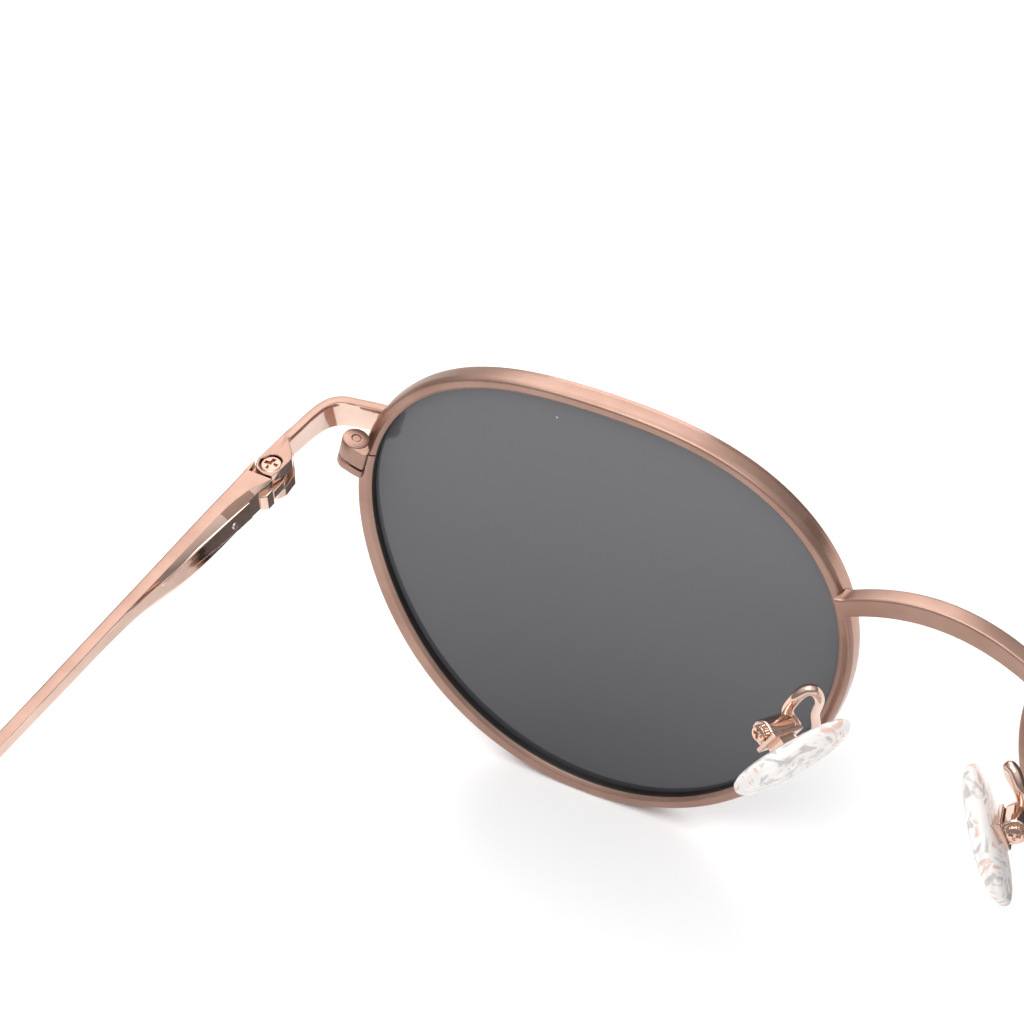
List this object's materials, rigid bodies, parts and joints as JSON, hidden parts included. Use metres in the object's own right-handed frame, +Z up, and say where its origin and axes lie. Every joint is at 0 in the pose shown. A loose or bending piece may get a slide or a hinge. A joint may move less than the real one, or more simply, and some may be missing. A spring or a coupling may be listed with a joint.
{
  "type": "round metal sunglasses",
  "caption": "Rose-gold metal sunglasses with rounded grey lenses, adjustable clear nose pads and spring-hinged temples, standing open.",
  "frame": {"origin": "centre of the bounding box's underside, on the table the open glasses stand on, midway between the two halves", "axes": "+X to the wearer's left, +Y back along the temples towards the ears, +Z up; the wearer looks along -Y"},
  "size_m": [0.1392, 0.142, 0.0496],
  "materials": {
    "satin_rose_metal": "satin rose gold plating",
    "polished_rose_metal": "polished rose gold plating",
    "steel": "plain",
    "grey_lens": "dark grey, smooth",
    "clear_silicone": "clear, smooth",
    "blush_acetate": "smooth"
  },
  "bodies": {
    "front": {"bridge": "satin_rose_metal", "rim_left": "satin_rose_metal", "lens_left": "grey_lens", "closing_block_upper_left": "satin_rose_metal", "closing_block_lower_left": "satin_rose_metal", "closing_screw_left": "steel", "end_piece_left": "polished_rose_metal", "front_hinge_left": "satin_rose_metal", "hinge_screw_left": "polished_rose_metal", "pad_arm_left": "polished_rose_metal", "pad_box_left": "polished_rose_metal", "pad_screw_left": "polished_rose_metal", "rim_right": "satin_rose_metal", "lens_right": "grey_lens", "closing_block_upper_right": "satin_rose_metal", "closing_block_lower_right": "satin_rose_metal", "closing_screw_right": "steel", "end_piece_right": "polished_rose_metal", "front_hinge_right": "satin_rose_metal", "hinge_screw_right": "polished_rose_metal", "pad_arm_right": "polished_rose_metal", "pad_box_right": "polished_rose_metal", "pad_screw_right": "polished_rose_metal"},
    "spring_slider_left": {"slider_left": "steel", "slider_spring_left": "steel"},
    "temple_side_left": {"temple_left": "polished_rose_metal", "temple_tip_left": "blush_acetate", "spring_housing_left": "polished_rose_metal", "spring_stop_left": "steel", "stop_pin_left": "steel"},
    "nose_pad_side_left": {"nose_pad_left": "clear_silicone", "pad_lug_left": "steel"},
    "spring_slider_right": {"slider_right": "steel", "slider_spring_right": "steel"},
    "temple_side_right": {"temple_right": "polished_rose_metal", "temple_tip_right": "blush_acetate", "spring_housing_right": "polished_rose_metal", "spring_stop_right": "steel", "stop_pin_right": "steel"},
    "nose_pad_side_right": {"nose_pad_right": "clear_silicone", "pad_lug_right": "steel"}
  },
  "joints": [
    {"name": "temple_fold_left", "type": "hinge", "parent": "front", "child": "spring_slider_left", "pos_m": [0.06404, -0.05672, 0.0374], "axis": [0, 0, 1], "range_deg": [0, 92]},
    {"name": "spring_slide_left", "type": "slide", "parent": "spring_slider_left", "child": "temple_side_left", "axis": [0.0678, 0.9976, 0.016], "range_m": [0, 0.0012], "stiffness_N_per_m": 3000, "deforming": ["slider_spring_left"]},
    {"name": "pad_rock_left", "type": "hinge", "parent": "front", "child": "nose_pad_side_left", "pos_m": [0.01259, -0.05664, 0.02776], "axis": [-0.299, -0.8539, -0.426], "range_deg": [-7, 7]},
    {"name": "temple_fold_right", "type": "hinge", "parent": "front", "child": "spring_slider_right", "pos_m": [-0.06404, -0.05672, 0.0374], "axis": [0, 0, -1], "range_deg": [0, 86]},
    {"name": "spring_slide_right", "type": "slide", "parent": "spring_slider_right", "child": "temple_side_right", "axis": [-0.0678, 0.9976, 0.016], "range_m": [0, 0.0012], "stiffness_N_per_m": 3000, "deforming": ["slider_spring_right"]},
    {"name": "pad_rock_right", "type": "hinge", "parent": "front", "child": "nose_pad_side_right", "pos_m": [-0.01259, -0.05664, 0.02776], "axis": [0.299, -0.8539, -0.426], "range_deg": [-7, 7]}
  ]
}
